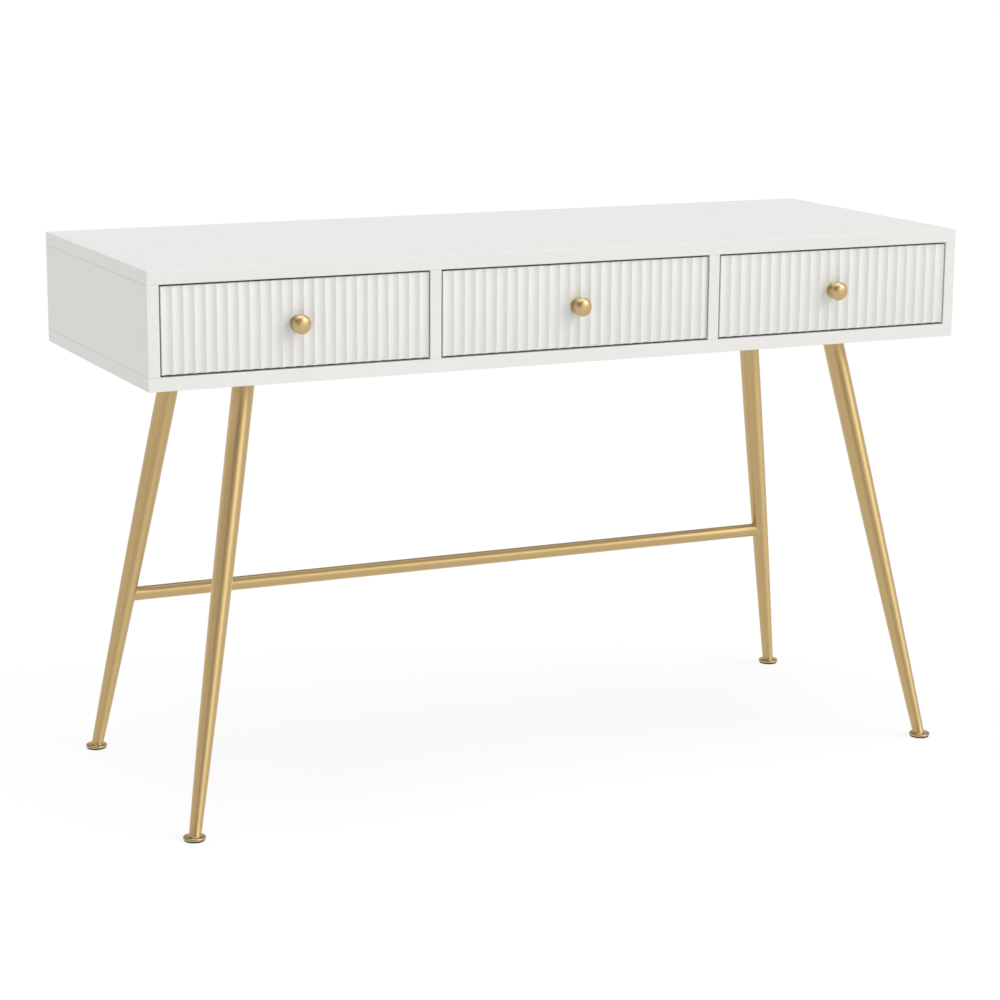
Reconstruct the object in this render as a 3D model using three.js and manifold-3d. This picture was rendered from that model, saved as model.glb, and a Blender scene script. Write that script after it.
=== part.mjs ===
// A white dressing table: three drawers with fluted fronts in a lacquered board carcass, on four
// splayed, tapered gold legs with one stretcher between the back pair.
// Millimetres, +Z up, -Y is the front, +X is to the right for a person facing the drawers.
// The origin lies on the floor at the centre of the table's whole outline.

import * as THREE from "three";
import { mergeVertices } from "three/addons/utils/BufferGeometryUtils.js";
import Module from "manifold-3d";

const wasm = await Module();
wasm.setup();

// ---------------------------------------------------------------- driving dimensions
const CARCASS = { width: 1200, depth: 450, height: 153, top: 740 };
const BOARD = { flat: 18, upright: 16, back: 12 }; // top and bottom, sides and dividers, back
const DIVIDER_X = 207.7; // centre line of each divider
const EASE = 0.8; // small chamfer along the outer edges of the boards

const FRONT = { thick: 18, sideGap: 2, endGap: 2.5, fluteDepth: 2.6, fluteSteps: 4 };
const BOX = { side: 12, height: 85, length: 375, lift: 12, floor: 5, floorLift: 10, groove: 6 };
const RUNNER = { length: 350, clearance: 13, wall: 1.2, channelHigh: 35, channelDeep: 10 };
const RAIL = { high: 24, deep: 8 };
const RUNNER_SETBACK = 3; // behind the back face of the drawer fronts
const RUNNER_Z = 34; // centre line of a runner above the drawer space's floor

const LEG = { topRadius: 14.5, footRadius: 8.6, straight: 80, swage: 60, wall: 1.5, sides: 32 };
// Where the legs' axes meet the carcass underside and the floor, on the right-hand side.
const LEG_TOP = { front: { x: 446, y: -149 }, back: { x: 454, y: 105 } };
const LEG_FOOT = { front: { x: 558, y: -247 }, back: { x: 558, y: 186 } };
const LEG_OVER = 40; // how far a tube is drawn beyond both ends before it is trimmed level
const PLATE = { size: 70, thick: 3, corner: 8, inset: 10, holeRadius: 2.5 };
const STRETCHER = { radius: 9.8, height: 230, wall: 1.5, sides: 24 };
const DISC = { radius: 15, thick: 4, round: 1.2 };
const PAD = { radius: 13.5, thick: 1.5, round: 0.3 };

const KNOB = { flange: 10.5, flangeThick: 3, round: 1, neck: 5.2, flare: 1.2, reach: 23 };
const KNOB_HEAD = { radius: 12.7, under: 3.2, dome: 7.3, steps: 8 }; // depths behind and before its rim
const KNOB_BORE = { radius: 2.3, depth: 14 };
const KNOB_SEAT = KNOB.flange + 0.4; // radius of the flat spot cut into the flutes
const SCREW = { shank: 2, head: 4.2, headThick: 2.4, reach: 12 };
const SCREW_HOLE = 2.6;
const TURNED_SIDES = { knob: 24, screw: 12, hole: 16, seat: 32 };

const CLEARANCE = 0.3; // between pieces that are cut to fit one another

// ---------------------------------------------------------------- derived places
const Z_TOP = CARCASS.top;
const Z_BASE = Z_TOP - CARCASS.height;
const SPACE = { low: Z_BASE + BOARD.flat, high: Z_TOP - BOARD.flat };
const HALF_WIDTH = CARCASS.width / 2;
const Y_FRONT = -CARCASS.depth / 2;
const Y_BACK = CARCASS.depth / 2;
const INNER_X = HALF_WIDTH - BOARD.upright;
const DIVIDER_FACE = { near: DIVIDER_X - BOARD.upright / 2, far: DIVIDER_X + BOARD.upright / 2 };
// The front feet reach further forward than the knobs, so they set the outline's centre.
const OUTLINE_FRONT = LEG_FOOT.front.y - DISC.radius;
const CENTRE_SHIFT = -(OUTLINE_FRONT + Y_BACK) / 2;

// The fronts are cut from longer fluted boards, so the last flute of each is only part of one.
const DRAWERS = [
  { name: "left", low: -INNER_X, high: -DIVIDER_FACE.far, flutes: 24.85 },
  { name: "centre", low: -DIVIDER_FACE.near, high: DIVIDER_FACE.near, flutes: 25.55 },
  { name: "right", low: DIVIDER_FACE.far, high: INNER_X, flutes: 22.9 },
];

// ---------------------------------------------------------------- materials
const finish = (color, roughness, metalness) =>
  new THREE.MeshStandardMaterial({ color, roughness, metalness });
const LACQUER = () => finish(0xeeeeeb, 0.42, 0);
const BOX_BOARD = () => finish(0xe4e2dc, 0.6, 0);
const GOLD = () => finish(0xb8985f, 0.35, 1);
const STEEL = () => finish(0xb9bbbd, 0.4, 1);
const FELT = () => finish(0x2b2724, 0.95, 0);

// ---------------------------------------------------------------- helpers
const table = new THREE.Group();
table.position.y = CENTRE_SHIFT;

/** Adds one named piece to the table. */
function piece(name, geometry, material) {
  const mesh = new THREE.Mesh(geometry, material);
  mesh.name = name;
  table.add(mesh);
  return mesh;
}

/** A box given by its lowest and highest corners. */
function block(low, high) {
  const size = high.map((value, axis) => value - low[axis]);
  const middle = high.map((value, axis) => (value + low[axis]) / 2);
  return new THREE.BoxGeometry(...size).translate(...middle);
}

/** A board lying flat whose four long edges are eased by a small chamfer. */
function easedPlank(low, high, ease) {
  const outline = new THREE.Shape();
  outline.moveTo(low[1] + ease, low[2]);
  outline.lineTo(high[1] - ease, low[2]);
  outline.lineTo(high[1], low[2] + ease);
  outline.lineTo(high[1], high[2] - ease);
  outline.lineTo(high[1] - ease, high[2]);
  outline.lineTo(low[1] + ease, high[2]);
  outline.lineTo(low[1], high[2] - ease);
  outline.lineTo(low[1], low[2] + ease);
  outline.closePath();
  return alongX(outline, low[0], high[0]);
}

/** Extrudes an outline drawn in (Y, Z) along X, from one x to another. */
function alongX(outline, from, to) {
  const geometry = new THREE.ExtrudeGeometry(outline, { depth: to - from, bevelEnabled: false });
  const turn = new THREE.Matrix4().makeBasis(
    new THREE.Vector3(0, 1, 0),
    new THREE.Vector3(0, 0, 1),
    new THREE.Vector3(1, 0, 0),
  );
  return geometry.applyMatrix4(turn).translate(from, 0, 0);
}

/** Extrudes an outline drawn in (X, Z) along +Y, from one y to another. */
function alongY(outline, from, to) {
  const geometry = new THREE.ExtrudeGeometry(outline, { depth: to - from, bevelEnabled: false });
  return geometry.rotateX(Math.PI / 2).translate(0, to, 0);
}

/** A closed outline through the given corners. */
function polygon(corners) {
  return new THREE.Shape(corners.map(([a, b]) => new THREE.Vector2(a, b)));
}

/** Turns a lathed profile of [radius, height] pairs into a solid standing on the Z axis. */
function turned(profile, sides) {
  const points = profile.map(([radius, height]) => new THREE.Vector2(radius, height));
  return new THREE.LatheGeometry(points, sides).rotateX(Math.PI / 2);
}

/** A closed manifold-3d solid with the same surface as a three.js geometry. */
function solid(geometry) {
  const bare = geometry.clone();
  bare.deleteAttribute("normal");
  bare.deleteAttribute("uv");
  const merged = mergeVertices(bare, 1e-4);
  return new wasm.Manifold(
    new wasm.Mesh({
      numProp: 3,
      vertProperties: merged.attributes.position.array,
      triVerts: new Uint32Array(merged.index.array),
    }),
  );
}

/** A three.js geometry with the surface of a manifold-3d solid. */
function surface(body) {
  const mesh = body.getMesh();
  const geometry = new THREE.BufferGeometry();
  geometry.setAttribute("position", new THREE.BufferAttribute(mesh.vertProperties, 3));
  geometry.setIndex(new THREE.BufferAttribute(mesh.triVerts, 1));
  geometry.computeVertexNormals();
  return geometry;
}

/** Cuts any number of geometries away from the first one. */
function cut(base, ...tools) {
  return surface(tools.reduce((body, tool) => body.subtract(solid(tool)), solid(base)));
}

// ---------------------------------------------------------------- carcass
function buildCarcass() {
  const planks = [
    ["top_panel", Z_TOP - BOARD.flat, Z_TOP],
    ["bottom_panel", Z_BASE, Z_BASE + BOARD.flat],
  ];
  for (const [name, low, high] of planks) {
    const plank = easedPlank([-HALF_WIDTH, Y_FRONT, low], [HALF_WIDTH, Y_BACK, high], EASE);
    piece(name, plank, LACQUER());
  }
  const uprights = [
    ["side_panel_left", -HALF_WIDTH, -INNER_X, Y_BACK],
    ["side_panel_right", INNER_X, HALF_WIDTH, Y_BACK],
    ["divider_left", -DIVIDER_FACE.far, -DIVIDER_FACE.near, Y_BACK - BOARD.back],
    ["divider_right", DIVIDER_FACE.near, DIVIDER_FACE.far, Y_BACK - BOARD.back],
  ];
  for (const [name, left, right, back] of uprights) {
    piece(name, block([left, Y_FRONT, SPACE.low], [right, back, SPACE.high]), LACQUER());
  }
  const back = block([-INNER_X, Y_BACK - BOARD.back, SPACE.low], [INNER_X, Y_BACK, SPACE.high]);
  piece("back_panel", back, LACQUER());
}

// ---------------------------------------------------------------- drawers
/** The fluted front: a plan outline with one shallow arc to each flute, extruded upwards. */
function flutedFront(left, right, flutes) {
  const pitch = (right - left) / flutes;
  const yBack = Y_FRONT + FRONT.thick;
  const outline = new THREE.Shape();
  outline.moveTo(left, yBack);
  for (let flute = 0; flute < flutes; flute += 1) {
    const whole = Math.min(1, flutes - flute);
    for (let step = 0; step <= FRONT.fluteSteps; step += 1) {
      if (flute > 0 && step === 0) continue;
      const t = (whole * step) / FRONT.fluteSteps;
      const sink = FRONT.fluteDepth * (1 - (2 * t - 1) ** 2);
      outline.lineTo(left + (flute + t) * pitch, Y_FRONT + sink);
    }
  }
  outline.lineTo(right, yBack);
  outline.closePath();
  const low = SPACE.low + FRONT.endGap;
  const high = SPACE.high - FRONT.endGap;
  const board = new THREE.ExtrudeGeometry(outline, { depth: high - low, bevelEnabled: false });
  return board.translate(0, 0, low);
}

/** A drawer side's cross-section, with the groove for the floor on its inner face. */
function grooveSection(outer, inner, low, high, grooveLow, grooveHigh) {
  const sunk = inner + Math.sign(outer - inner) * (BOX.groove + CLEARANCE);
  return polygon([
    [outer, low],
    [inner, low],
    [inner, grooveLow],
    [sunk, grooveLow],
    [sunk, grooveHigh],
    [inner, grooveHigh],
    [inner, high],
    [outer, high],
  ]);
}

/** A runner member's cross-section: a C whose web stands at one x and whose lips reach towards another. */
function channelSection(web, lips, middle, high) {
  const inward = Math.sign(lips - web) * RUNNER.wall;
  const half = high / 2;
  return polygon([
    [web, middle - half],
    [lips, middle - half],
    [lips, middle - half + RUNNER.wall],
    [web + inward, middle - half + RUNNER.wall],
    [web + inward, middle + half - RUNNER.wall],
    [lips, middle + half - RUNNER.wall],
    [lips, middle + half],
    [web, middle + half],
  ]);
}

/** The knob as turned, from the tip of its blind bore round to the crown and back to the axis. */
function knobProfile() {
  const { flange, flangeThick, round, neck, flare, reach } = KNOB;
  const { radius, under, dome, steps } = KNOB_HEAD;
  const widest = reach - dome;
  const profile = [
    [0, KNOB_BORE.depth],
    [KNOB_BORE.radius, KNOB_BORE.depth],
    [KNOB_BORE.radius, 0],
    [flange, 0],
    [flange, flangeThick - round],
    [flange - round, flangeThick],
    [neck + flare, flangeThick + flare],
    [neck, (flangeThick + widest - under) / 2],
  ];
  const start = -Math.acos((neck + flare) / radius);
  for (let step = 0; step < steps; step += 1) {
    const angle = start + (step / steps) * (Math.PI / 2 - start);
    const deep = angle < 0 ? under : dome;
    profile.push([radius * Math.cos(angle), widest + deep * Math.sin(angle)]);
  }
  return [...profile, [0, reach]];
}

/** Turns a profile of [radius, height] pairs about a line from a point towards -Y. */
function alongDrawer(profile, sides, x, y, z) {
  return turned(profile, sides)
    .rotateX(Math.PI / 2)
    .translate(x, y, z);
}

/** A round cutter across a drawer front, centred on a point. */
function frontTool(radius, length, sides, x, y, z) {
  return new THREE.CylinderGeometry(radius, radius, length, sides).translate(x, y, z);
}

function buildDrawer({ name, low, high, flutes }) {
  const tag = `drawer_${name}`;
  const frontLow = low + FRONT.sideGap;
  const frontHigh = high - FRONT.sideGap;
  const yFrontBack = Y_FRONT + FRONT.thick;
  const yBoxFront = yFrontBack + CLEARANCE;
  const yBoxBack = yFrontBack + BOX.length;
  const outerLow = low + RUNNER.clearance;
  const outerHigh = high - RUNNER.clearance;
  const zLow = SPACE.low + BOX.lift;
  const zHigh = zLow + BOX.height;
  const floorLow = zLow + BOX.floorLift;
  const floorHigh = floorLow + BOX.floor;
  const slotLow = floorLow - CLEARANCE;
  const slotHigh = floorHigh + CLEARANCE;
  const centreX = (low + high) / 2;
  const knobZ = (SPACE.low + SPACE.high) / 2;

  // Front, with the groove for the floor and the hole for the knob's screw.
  const innerLow = outerLow + BOX.side;
  const innerHigh = outerHigh - BOX.side;
  const grooveTool = block(
    [innerLow - BOX.groove - CLEARANCE, yFrontBack - BOX.groove - CLEARANCE, slotLow],
    [innerHigh + BOX.groove + CLEARANCE, yFrontBack + BOX.groove, slotHigh],
  );
  const { hole, seat } = TURNED_SIDES;
  const holeTool = frontTool(SCREW_HOLE, FRONT.thick * 2, hole, centreX, yFrontBack, knobZ);
  // A flat spot under the flange lets the knob sit square on the flutes.
  const seatTool = frontTool(KNOB_SEAT, FRONT.fluteDepth * 2, seat, centreX, Y_FRONT, knobZ);
  const front = cut(flutedFront(frontLow, frontHigh, flutes), grooveTool, holeTool, seatTool);
  piece(`${tag}_front`, front, LACQUER());

  // Sides, back and floor of the box behind it.
  const sections = [
    ["side_left", grooveSection(outerLow, innerLow, zLow, zHigh, slotLow, slotHigh)],
    ["side_right", grooveSection(outerHigh, innerHigh, zLow, zHigh, slotLow, slotHigh)],
  ];
  for (const [end, section] of sections) {
    piece(`${tag}_${end}`, alongY(section, yBoxFront, yBoxBack), BOX_BOARD());
  }
  const boxBack = block([innerLow, yBoxBack - BOX.side, slotHigh], [innerHigh, yBoxBack, zHigh]);
  piece(`${tag}_back`, boxBack, BOX_BOARD());
  const floor = block(
    [innerLow - BOX.groove, yFrontBack - BOX.groove, floorLow],
    [innerHigh + BOX.groove, yBoxBack, floorHigh],
  );
  piece(`${tag}_floor`, floor, BOX_BOARD());

  // Knob and its screw, on one line through the front.
  const seatY = Y_FRONT + FRONT.fluteDepth - CLEARANCE;
  piece(`${tag}_knob`, alongDrawer(knobProfile(), TURNED_SIDES.knob, centreX, seatY, knobZ), GOLD());
  const screwLength = yFrontBack - seatY + SCREW.reach;
  const screwProfile = [
    [0, -SCREW.headThick],
    [SCREW.head, -SCREW.headThick],
    [SCREW.head, 0],
    [SCREW.shank, 0],
    [SCREW.shank, screwLength],
    [0, screwLength],
  ];
  const screw = alongDrawer(screwProfile, TURNED_SIDES.screw, centreX, yFrontBack + CLEARANCE, knobZ);
  piece(`${tag}_knob_screw`, screw, STEEL());

  // Runners: a channel on the carcass and a rail on the drawer, nested with room for the balls.
  const runnerFront = yFrontBack + RUNNER_SETBACK;
  const runnerZ = SPACE.low + RUNNER_Z;
  const hands = [
    ["left", low, outerLow, 1],
    ["right", high, outerHigh, -1],
  ];
  for (const [hand, wallX, boxX, inward] of hands) {
    const channel = channelSection(wallX, wallX + inward * RUNNER.channelDeep, runnerZ, RUNNER.channelHigh);
    piece(`runner_${name}_${hand}`, alongY(channel, runnerFront, runnerFront + RUNNER.length), STEEL());
    const railWeb = boxX - inward * CLEARANCE;
    const rail = channelSection(railWeb, railWeb - inward * RAIL.deep, runnerZ, RAIL.high);
    piece(`${tag}_rail_${hand}`, alongY(rail, runnerFront, runnerFront + RUNNER.length), STEEL());
  }
}

// ---------------------------------------------------------------- legs
/** A leg's outline along its axis: straight, then a steady taper. It can be grown all round. */
function legProfile(length, grow) {
  const { topRadius, footRadius, straight, swage } = LEG;
  const slope = (topRadius - footRadius) / (length - straight - swage / 2);
  const radiusAt = (down) => {
    const past = down - straight;
    if (past <= 0) return topRadius + grow;
    if (past < swage) return topRadius + grow - (slope * past ** 2) / (2 * swage);
    return topRadius + grow - slope * (past - swage / 2);
  };
  const swaged = [straight, straight + swage / 2, straight + swage];
  const stations = [-LEG_OVER, ...swaged, length, length + LEG_OVER];
  const ring = stations.map((down) => [radiusAt(down), -down]).reverse();
  return [[0, -length - LEG_OVER], ...ring, [0, LEG_OVER]];
}

/** A leg's axis, from the carcass underside to the floor, for one corner. */
function legAxis(sideways, end) {
  const top = new THREE.Vector3(sideways * LEG_TOP[end].x, LEG_TOP[end].y, Z_BASE);
  const foot = new THREE.Vector3(sideways * LEG_FOOT[end].x, LEG_FOOT[end].y, 0);
  return { top, foot, down: foot.clone().sub(top).normalize(), length: top.distanceTo(foot) };
}

/** The tapered tube on its leaning axis, before its ends are trimmed level. */
function leaningLeg({ top, down, length }, grow = 0) {
  const lean = new THREE.Quaternion().setFromUnitVectors(new THREE.Vector3(0, 0, -1), down);
  return turned(legProfile(length, grow), LEG.sides)
    .applyQuaternion(lean)
    .translate(top.x, top.y, top.z);
}

/** A square plate with rounded corners and four screw holes. */
function legPlate(x, y) {
  const half = PLATE.size / 2;
  const r = PLATE.corner;
  const outline = new THREE.Shape();
  outline.moveTo(-half + r, -half);
  outline.lineTo(half - r, -half);
  outline.absarc(half - r, -half + r, r, -Math.PI / 2, 0, false);
  outline.absarc(half - r, half - r, r, 0, Math.PI / 2, false);
  outline.absarc(-half + r, half - r, r, Math.PI / 2, Math.PI, false);
  outline.absarc(-half + r, -half + r, r, Math.PI, 1.5 * Math.PI, false);
  for (const sx of [-1, 1]) {
    for (const sy of [-1, 1]) {
      const hole = new THREE.Path();
      const reach = half - PLATE.inset;
      hole.absarc(sx * reach, sy * reach, PLATE.holeRadius, 0, 2 * Math.PI, true);
      outline.holes.push(hole);
    }
  }
  const options = { depth: PLATE.thick, bevelEnabled: false, curveSegments: 4 };
  const low = Z_BASE - CLEARANCE - PLATE.thick;
  return new THREE.ExtrudeGeometry(outline, options).translate(x, y, low);
}

/** A foot disc or pad: a short turned disc whose rim may be rounded. */
function footDisc(x, y, low, radius, thick, round) {
  const profile = [
    [0, low],
    [radius - round, low],
    [radius, low + round],
    [radius, low + thick - round],
    [radius - round, low + thick],
    [0, low + thick],
  ];
  return turned(profile, LEG.sides).translate(x, y, 0);
}

function buildLegs() {
  const span = 2 * CARCASS.width;
  const topCut = Z_BASE - 2 * CLEARANCE - PLATE.thick;
  const footCut = PAD.thick + DISC.thick + 2 * CLEARANCE;
  const above = block([-span, -span, topCut], [span, span, topCut + span]);
  const below = block([-span, -span, footCut - span], [span, span, footCut]);
  const backAxes = [];
  for (const end of ["front", "back"]) {
    for (const [side, sideways] of [
      ["left", -1],
      ["right", 1],
    ]) {
      const tag = `${end}_${side}`;
      const axis = legAxis(sideways, end);
      const tube = cut(leaningLeg(axis), leaningLeg(axis, -LEG.wall), above, below);
      piece(`leg_${tag}`, tube, GOLD());
      piece(`leg_plate_${tag}`, legPlate(axis.top.x, axis.top.y), GOLD());
      const { x, y } = axis.foot;
      const discLow = PAD.thick + CLEARANCE;
      piece(`foot_disc_${tag}`, footDisc(x, y, discLow, DISC.radius, DISC.thick, DISC.round), GOLD());
      piece(`foot_pad_${tag}`, footDisc(x, y, 0, PAD.radius, PAD.thick, PAD.round), FELT());
      if (end === "back") backAxes.push(axis);
    }
  }
  buildStretcher(backAxes);
}

/** The stretcher runs between the axes of the back legs and is coped to their round sides. */
function buildStretcher(axes) {
  const ends = axes.map(({ top, foot }) => {
    const t = (STRETCHER.height - foot.z) / (top.z - foot.z);
    return foot.clone().lerp(top, t);
  });
  const length = ends[0].distanceTo(ends[1]);
  const rod = (radius, reach) =>
    new THREE.CylinderGeometry(radius, radius, reach, STRETCHER.sides)
      .rotateZ(Math.PI / 2)
      .translate(0, ends[0].y, STRETCHER.height);
  const bore = rod(STRETCHER.radius - STRETCHER.wall, 2 * length);
  const copes = axes.map((axis) => leaningLeg(axis, 2 * CLEARANCE));
  piece("stretcher", cut(rod(STRETCHER.radius, length), bore, ...copes), GOLD());
}

buildCarcass();
DRAWERS.forEach(buildDrawer);
buildLegs();

export default table;
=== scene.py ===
"""The looks of a white dressing table with three fluted drawers and four gold legs.

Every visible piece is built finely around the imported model, gets its finish and rides on its body.
Lengths are in metres, except in fields whose names end in _mm. +Z is up and -Y is the front.
"""

import logging
import math
from dataclasses import dataclass
from enum import Enum
from typing import Callable, Mapping, Sequence

import bmesh
import bpy
from mathutils import Matrix, Vector


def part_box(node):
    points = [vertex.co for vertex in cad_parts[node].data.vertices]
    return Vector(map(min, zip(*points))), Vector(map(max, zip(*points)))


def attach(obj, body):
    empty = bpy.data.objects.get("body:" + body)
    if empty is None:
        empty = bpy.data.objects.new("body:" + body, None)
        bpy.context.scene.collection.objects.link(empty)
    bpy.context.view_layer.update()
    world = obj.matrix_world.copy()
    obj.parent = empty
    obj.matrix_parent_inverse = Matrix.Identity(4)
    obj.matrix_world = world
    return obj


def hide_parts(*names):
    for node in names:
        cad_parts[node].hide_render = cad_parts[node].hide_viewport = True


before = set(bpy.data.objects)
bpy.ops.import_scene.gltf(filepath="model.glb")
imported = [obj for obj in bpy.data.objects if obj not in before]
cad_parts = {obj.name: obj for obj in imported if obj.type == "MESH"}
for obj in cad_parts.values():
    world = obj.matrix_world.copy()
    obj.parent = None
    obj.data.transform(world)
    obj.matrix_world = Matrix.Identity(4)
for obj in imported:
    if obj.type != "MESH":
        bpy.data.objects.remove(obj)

log = logging.getLogger("dressing_table")

MM = 0.001
Point = tuple[float, float]


# ---------------------------------------------------------------- names
class Slot(Enum):
    """Material slots of the part's record."""

    LACQUER = "white_lacquer"
    BOARD = "drawer_board"
    GOLD = "brushed_gold"
    BRASS = "satin_brass"
    ZINC = "zinc_steel"
    PAD = "dark_pad"


class Side(Enum):
    """The two hands of the table, with the sign of X on each."""

    LEFT = ("left", -1)
    RIGHT = ("right", 1)

    @property
    def tag(self) -> str:
        """The side's name in node names."""
        return self.value[0]

    @property
    def sign(self) -> int:
        """-1 on the left and +1 on the right."""
        return self.value[1]


class End(Enum):
    """The front and back pairs of legs."""

    FRONT = "front"
    BACK = "back"


class Bay(Enum):
    """The three drawers, with the number of flutes on each front, of which the last is cut short."""

    LEFT = ("left", 24.85)
    CENTRE = ("centre", 25.55)
    RIGHT = ("right", 22.9)

    @property
    def tag(self) -> str:
        """The drawer's name in node names."""
        return self.value[0]

    @property
    def flutes(self) -> float:
        """How many flutes the drawer's front has."""
        return self.value[1]


class Axis(Enum):
    """The axis that an outline is extruded along."""

    X = 0
    Y = 1
    Z = 2

    def point(self, across: Point, along: float) -> Vector:
        """Puts the along value between the two across values, in the order X, Y, Z."""
        values = list(across)
        values.insert(self.value, along)
        return Vector(values)


# ---------------------------------------------------------------- nodes and colours
def linear(colour: str) -> tuple[float, float, float, float]:
    """Turns an sRGB hex colour into linear red, green, blue and alpha.

    Args:
        colour: six hex digits after a #.

    Returns:
        Four values from 0 to 1, the last of which is 1.
    """
    shown = [int(colour[start : start + 2], 16) / 255 for start in (1, 3, 5)]
    red, green, blue = (c / 12.92 if c <= 0.04045 else ((c + 0.055) / 1.055) ** 2.4 for c in shown)
    return (red, green, blue, 1.0)


def per_metre(size_mm: float) -> float:
    """A texture scale at which a pattern's features are so many millimetres across."""
    return 1.0 / (size_mm * MM)


def add_node(
    tree: bpy.types.NodeTree,
    kind: str,
    inputs: Mapping[str | int, object] | None = None,
    **settings: object,
) -> bpy.types.Node:
    """Adds a node, sets its properties and fills its inputs.

    Args:
        tree: the tree of a material or of the world.
        kind: Blender's name for the type of node.
        inputs: a value, or another node's output to link, for each input by its name or number.
        **settings: the node's own properties.

    Returns:
        The new node.
    """
    node = tree.nodes.new(kind)
    for name, value in settings.items():
        setattr(node, name, value)
    for key, value in (inputs or {}).items():
        if isinstance(value, bpy.types.NodeSocket):
            tree.links.new(value, node.inputs[key])
        else:
            node.inputs[key].default_value = value
    return node


def own_place(tree: bpy.types.NodeTree) -> bpy.types.NodeSocket:
    """The place on a piece along its own axes, in metres."""
    return add_node(tree, "ShaderNodeTexCoord").outputs["Object"]


def mapped_place(tree: bpy.types.NodeTree, stretch: Sequence[float]) -> bpy.types.NodeSocket:
    """The place on a piece's map, which is its only one.

    Args:
        tree: the material's node tree.
        stretch: factors along the map's two axes and 1, such as features per metre.

    Returns:
        A vector output for a texture.
    """
    coords = add_node(tree, "ShaderNodeTexCoord")
    links = {"Vector": coords.outputs["UV"], "Scale": tuple(stretch)}
    return add_node(tree, "ShaderNodeMapping", links).outputs["Vector"]


def turned_place(tree: bpy.types.NodeTree) -> bpy.types.NodeSocket:
    """The place on a turned piece as its distance from the axis and its height, in metres.

    Args:
        tree: the material's node tree.

    Returns:
        A vector output that is the same all the way round the piece's own Z axis.
    """
    coords = add_node(tree, "ShaderNodeTexCoord")
    parts = add_node(tree, "ShaderNodeSeparateXYZ", {0: coords.outputs["Object"]})
    across = add_node(tree, "ShaderNodeCombineXYZ", {"X": parts.outputs["X"], "Y": parts.outputs["Y"]})
    radius = add_node(tree, "ShaderNodeVectorMath", {0: across.outputs["Vector"]}, operation="LENGTH")
    ring = {"X": radius.outputs["Value"], "Y": parts.outputs["Z"]}
    return add_node(tree, "ShaderNodeCombineXYZ", ring).outputs["Vector"]


def between(
    tree: bpy.types.NodeTree, factor: bpy.types.NodeSocket, low: str, high: str
) -> bpy.types.NodeSocket:
    """Blends two sRGB hex colours by a factor.

    Args:
        tree: the material's node tree.
        factor: an output from 0 to 1.
        low: the colour at 0.
        high: the colour at 1.

    Returns:
        A colour output.
    """
    inputs = {0: factor, 6: linear(low), 7: linear(high)}
    return add_node(tree, "ShaderNodeMix", inputs, data_type="RGBA").outputs[2]


def spread(
    tree: bpy.types.NodeTree, value: bpy.types.NodeSocket, low: float, high: float
) -> bpy.types.NodeSocket:
    """Maps the middle of a noise, where nearly all its values lie, to a range.

    Args:
        tree: the material's node tree.
        value: a noise texture's factor.
        low: the result where the noise is low.
        high: the result where the noise is high.

    Returns:
        A value output.
    """
    inputs = {"Value": value, "From Min": 0.3, "From Max": 0.7, "To Min": low, "To Max": high}
    return add_node(tree, "ShaderNodeMapRange", inputs).outputs["Result"]


# ---------------------------------------------------------------- finishes
@dataclass(frozen=True)
class Finish:
    """A real finish: its material's name, the record's slot if any (not used), and the node tree that draws
    it.
    """

    name: str
    slot: Slot | None

    def material(self) -> bpy.types.Material:
        """Makes the material on first use, and gives the same one back after that.

        Returns:
            The finish's node-based material.
        """
        known = bpy.data.materials.get(self.name)
        if known is not None:
            return known
        made = bpy.data.materials.new(self.name)
        made.use_nodes = True
        made.node_tree.nodes.clear()
        shader = self.draw(made.node_tree)
        add_node(made.node_tree, "ShaderNodeOutputMaterial", {"Surface": shader.outputs[0]})
        return made

    def draw(self, tree: bpy.types.NodeTree) -> bpy.types.Node:
        """Draws the finish in an empty node tree and returns its shader.

        Args:
            tree: the material's empty node tree.

        Returns:
            The shader.
        """
        raise NotImplementedError


@dataclass(frozen=True)
class SprayedLacquer(Finish):
    """White polyurethane lacquer, sprayed on fine fibreboard and left satin.

    It gives the eye a soft, even white without clear reflections, and a very faint orange peel.
    """

    name: str = "Sprayed satin lacquer"
    slot: Slot | None = Slot.LACQUER
    full_coat: str = "#E1E0DC"
    thin_coat: str = "#DDDCD8"
    cloud_mm: float = 220.0  # slow changes in the thickness of the coat
    peel_mm: float = 5.0  # real orange peel is 1 to 2 mm across, and is drawn coarser to show
    peel_depth_mm: float = 0.012
    roughness: tuple[float, float] = (0.40, 0.47)  # of the glossiest and the mattest spots

    def draw(self, tree: bpy.types.NodeTree) -> bpy.types.Node:
        """Draws clouded white, a slightly uneven gloss and orange peel.

        Args:
            tree: the material's empty node tree.

        Returns:
            The shader.
        """
        place = own_place(tree)
        cloud_inputs = {"Vector": place, "Scale": per_metre(self.cloud_mm), "Detail": 2.0}
        cloud = add_node(tree, "ShaderNodeTexNoise", cloud_inputs).outputs["Fac"]
        peel_inputs = {"Vector": place, "Scale": per_metre(self.peel_mm), "Detail": 1.0}
        peel = add_node(tree, "ShaderNodeTexNoise", peel_inputs).outputs["Fac"]
        bump = add_node(tree, "ShaderNodeBump", {"Height": peel, "Distance": self.peel_depth_mm * MM})
        skin = {
            "Base Color": between(tree, cloud, self.thin_coat, self.full_coat),
            "Roughness": spread(tree, cloud, *self.roughness),
            "IOR": 1.5,
            "Normal": bump.outputs["Normal"],
        }
        return add_node(tree, "ShaderNodeBsdfPrincipled", skin)


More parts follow.
